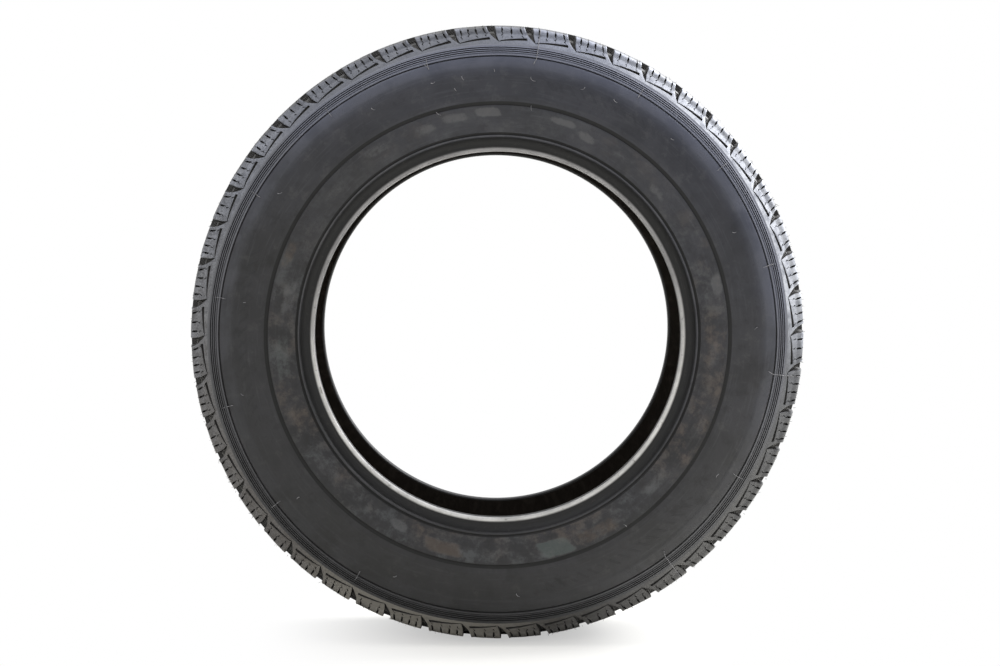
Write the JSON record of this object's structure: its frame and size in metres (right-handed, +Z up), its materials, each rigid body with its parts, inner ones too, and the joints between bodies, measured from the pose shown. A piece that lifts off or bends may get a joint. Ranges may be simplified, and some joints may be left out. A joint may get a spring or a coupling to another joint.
{
  "type": "tyre",
  "caption": "Old worn passenger car tyre off its rim: a ring with a blocked tread, ribbed sidewalls and two beads around an open bore.",
  "frame": {"origin": "the wheel's centre: on the axle's line, half way between the two beads", "axes": "+Y along the axle, with the front sidewall facing -Y; +Z up, away from the flat spot that the tyre stands on; +X to the right seen from the front"},
  "size_m": [0.647, 0.209, 0.645],
  "materials": {
    "tyre": "worn matte, dusty"
  },
  "bodies": {
    "root": {"tyre": "tyre"}
  },
  "joints": []
}
